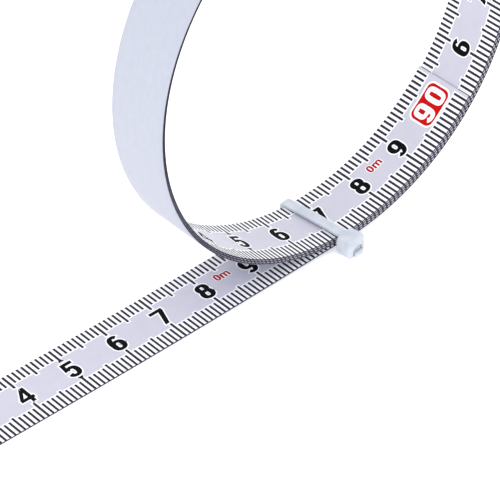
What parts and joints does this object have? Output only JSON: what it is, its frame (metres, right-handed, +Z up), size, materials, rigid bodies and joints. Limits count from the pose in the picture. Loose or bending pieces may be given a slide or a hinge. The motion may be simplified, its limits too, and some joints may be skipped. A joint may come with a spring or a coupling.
{
  "type": "self-adhesive bench tape measure",
  "caption": "Flat steel measuring tape with an adhesive back and release liner, coiled and held by a small cable tie, with a straight tail.",
  "frame": {"origin": "zero end of the tape, mid-width, on the underside of the release liner, which is the plane it lies on", "axes": "+X along the straight tail, equal to the scale reading there; +Y across the tape, towards the tops of the numerals; +Z up"},
  "size_m": [0.1478, 0.0184, 0.0834],
  "materials": {
    "enamelled_steel": "satin white enamel with black print",
    "adhesive": "pressure-sensitive adhesive film",
    "liner": "smooth white release liner",
    "nylon": "natural translucent nylon"
  },
  "bodies": {
    "coil": {"blade_coil": "enamelled_steel", "adhesive_coil": "adhesive", "liner_coil": "liner"},
    "tail": {"blade_tail": "enamelled_steel", "adhesive_tail": "adhesive", "liner_tail": "liner"},
    "tie": {"tie_strap": "nylon", "tie_head": "nylon"},
    "pawl": {"tie_pawl": "nylon"}
  },
  "joints": [
    {"name": "tail_flex", "type": "hinge", "parent": "coil", "child": "tail", "pos_m": [0.07852, 0, 0.0007], "axis": [0, 1, 0], "range_deg": [0, 45], "stiffness_Nm_per_rad": 0.007},
    {"name": "tie_slide", "type": "hinge", "parent": "coil", "child": "tie", "pos_m": [0.10677, 0, 0.04246], "axis": [0, -1, 0], "range_deg": [0, 320]},
    {"name": "pawl_flex", "type": "hinge", "parent": "tie", "child": "pawl", "pos_m": [0.1068, -0.00728, 0.00162], "axis": [-0.9945, -0.0958, -0.0417], "range_deg": [0, 7], "stiffness_Nm_per_rad": 0.001}
  ]
}
